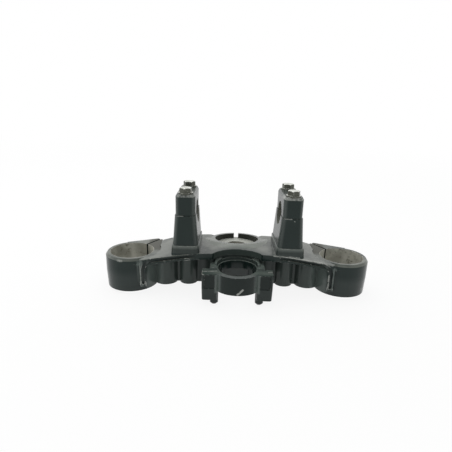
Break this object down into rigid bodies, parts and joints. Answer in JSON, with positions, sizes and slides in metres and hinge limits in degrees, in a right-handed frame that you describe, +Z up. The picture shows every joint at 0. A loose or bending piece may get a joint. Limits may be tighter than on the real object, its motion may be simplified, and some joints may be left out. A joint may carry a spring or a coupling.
{
  "type": "motorcycle triple clamp",
  "caption": "Cast upper fork yoke of a motorcycle: split fork clamps, a bridge with a stem bore, an ignition switch collar and tall handlebar risers with bolted caps.",
  "frame": {"origin": "on the steering stem's axis, at the lower face of the bridge", "axes": "+Z up along the steering stem, +X towards the rider's left, -Y towards the front of the motorcycle"},
  "size_m": [0.2526, 0.0981, 0.1015],
  "materials": {
    "black_paint": "semi-gloss, worn at the edges",
    "zinc_steel": "dull zinc plating"
  },
  "bodies": {
    "root": {"yoke_casting": "black_paint", "left_bar_cap": "black_paint", "right_bar_cap": "black_paint", "bar_cap_bolts": "zinc_steel", "fork_pinch_bolts": "zinc_steel"}
  },
  "joints": []
}
